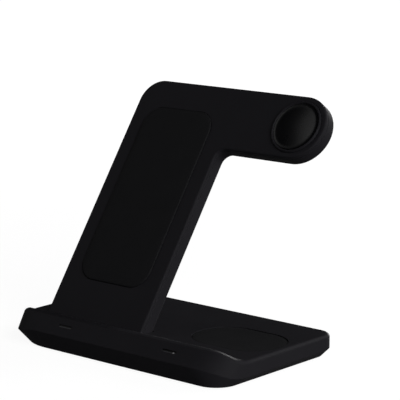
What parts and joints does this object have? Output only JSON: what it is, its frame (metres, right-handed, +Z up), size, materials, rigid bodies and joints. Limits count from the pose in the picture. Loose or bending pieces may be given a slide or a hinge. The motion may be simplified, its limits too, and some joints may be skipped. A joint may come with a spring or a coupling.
{
  "type": "wireless charging stand",
  "caption": "Matte black desk charger: a low base with a sloped front lip, a leaning back plate, a side arm carrying a round dished disc, and a flat charging pad on the deck.",
  "frame": {"origin": "on the table under the middle of the base, on the foot mat's lower face", "axes": "+X along the base from the plate's side to the arm's, +Y to the rear, +Z up"},
  "size_m": [0.1431, 0.1, 0.1198],
  "materials": {
    "housing_plastic": "fine spark-eroded matte black",
    "underside_plastic": "plain moulded black",
    "inner_plastic": "plain moulded dark grey",
    "disc_face": "satin black",
    "silicone_pad": "soft matte black",
    "foot_rubber": "matte black with a fine tooth",
    "steel": "zinc-plated sheet",
    "inlet_steel": "drawn stainless sheet",
    "inlet_plastic": "moulded black",
    "copper_wire": "enamelled copper wire",
    "ferrite": "sintered dark grey",
    "circuit_board": "green solder mask",
    "chip_resin": "moulded resin",
    "magnet_nickel": "nickel-plated",
    "light_pipe": "smoke-tinted clear acrylic",
    "led_resin": "cast resin"
  },
  "bodies": {
    "root": {"base_shell": "housing_plastic", "stand_rear_shell": "housing_plastic", "stand_front_cover": "housing_plastic", "puck_ring": "housing_plastic", "base_bottom_plate": "underside_plastic", "coil_carrier": "inner_plastic", "puck_base": "inner_plastic", "puck_cap": "disc_face", "earbud_pad": "silicone_pad", "seat_strip": "silicone_pad", "stand_front_pad": "silicone_pad", "foot_mat": "foot_rubber", "bottom_screws": "steel", "bracket_screws": "steel", "ballast_plate": "steel", "stand_bracket": "steel", "usb_c_shell": "inlet_steel", "usb_c_tongue": "inlet_plastic", "earbud_coil": "copper_wire", "upper_coil": "copper_wire", "lower_coil": "copper_wire", "puck_coil": "copper_wire", "earbud_ferrite": "ferrite", "coil_ferrite": "ferrite", "puck_ferrite": "ferrite", "power_inductors": "ferrite", "main_board": "circuit_board", "left_led_board": "circuit_board", "right_led_board": "circuit_board", "arm_board": "circuit_board", "controller_chip": "chip_resin", "puck_magnet": "magnet_nickel", "left_light_pipe": "light_pipe", "right_light_pipe": "light_pipe", "left_led": "led_resin", "right_led": "led_resin"}
  },
  "joints": []
}
